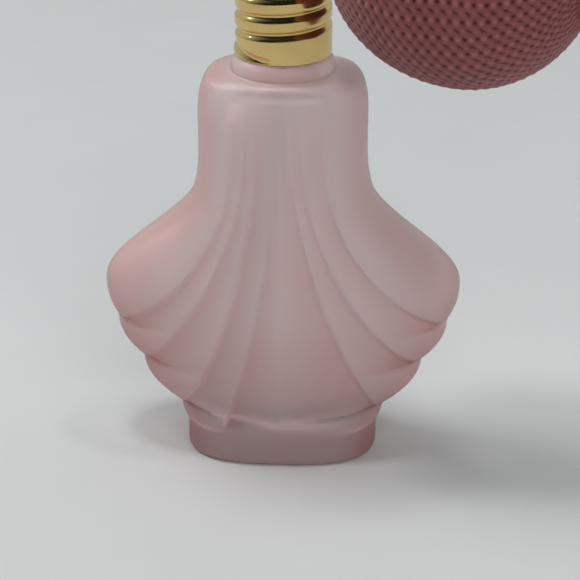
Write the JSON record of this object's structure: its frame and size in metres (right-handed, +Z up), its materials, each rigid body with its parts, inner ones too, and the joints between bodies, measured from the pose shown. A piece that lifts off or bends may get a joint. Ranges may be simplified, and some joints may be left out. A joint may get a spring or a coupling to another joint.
{
  "type": "perfume atomiser",
  "caption": "Frosted pink pleated glass perfume bottle with a rolled-thread gold screw collar, a turned spray head and a knit-covered rubber squeeze bulb.",
  "frame": {"origin": "centre of the bottle's flat base, on the surface that it stands on", "axes": "+Z up along the bottle's and the collar's axis; X across the wide face of the bottle; -Y is the front face; the bulb's axis is level and lies 22 degrees from +X towards -Y"},
  "size_m": [0.09, 0.0489, 0.117],
  "materials": {
    "frosted_glass": "acid-frosted pink, satin, slightly translucent",
    "gold": "polished gold-plated thin metal",
    "steel": "fine turned",
    "seal_rubber": "matt black",
    "white_plastic": "moulded, semi-gloss",
    "clear_plastic": "extruded, translucent",
    "bulb_rubber": "matt moulded rubber",
    "knit": "fine knitted rayon net",
    "cord": "twisted thread"
  },
  "bodies": {
    "bottle": {"glass_bottle": "frosted_glass", "glass_neck": "frosted_glass"},
    "stopper": {"neck_washer": "seal_rubber", "stem_plug": "white_plastic", "dip_tube": "clear_plastic"},
    "collar": {"screw_collar": "gold"},
    "head": {"head_body": "gold", "head_dome": "gold", "liquid_jet": "steel", "nozzle_sleeve": "gold", "orifice_cap": "gold", "air_stem": "gold", "stem_seal": "seal_rubber", "outlet_seat": "steel", "bulb_ferrule": "gold", "rubber_bulb": "bulb_rubber", "knitted_cover": "knit", "neck_binding": "cord"},
    "outlet_valve": {"outlet_ball": "steel"},
    "bulb_end": {"intake_body": "gold", "intake_retainer": "steel", "end_cap": "gold", "end_binding": "cord"},
    "intake_valve": {"intake_disc": "seal_rubber"}
  },
  "joints": [
    {"name": "head_rise", "type": "slide", "parent": "bottle", "child": "stopper", "axis": [0, 0, 1], "range_m": [0, 0.0074]},
    {"name": "collar_turn", "type": "hinge", "parent": "stopper", "child": "collar", "pos_m": [0, 0, 0.082], "axis": [0, 0, 1], "range_deg": [0, 810]},
    {"name": "head_swivel", "type": "hinge", "parent": "stopper", "child": "head", "pos_m": [0, 0, 0.0954], "axis": [0, 0, 1], "continuous": true},
    {"name": "bulb_squeeze", "type": "slide", "parent": "head", "child": "bulb_end", "axis": [-0.9272, 0.3746, 0], "range_m": [0, 0.012], "stiffness_N_per_m": 500, "deforming": ["rubber_bulb", "knitted_cover"]},
    {"name": "outlet_valve_lift", "type": "slide", "parent": "head", "child": "outlet_valve", "axis": [-0.9272, 0.3746, 0], "range_m": [0, 0.001]},
    {"name": "intake_valve_lift", "type": "slide", "parent": "bulb_end", "child": "intake_valve", "axis": [-0.9272, 0.3746, 0], "range_m": [0, 0.0008]}
  ],
  "couplings": [
    {"joint": "collar_turn", "follows": "head_rise", "rad_per_m": 1904}
  ]
}
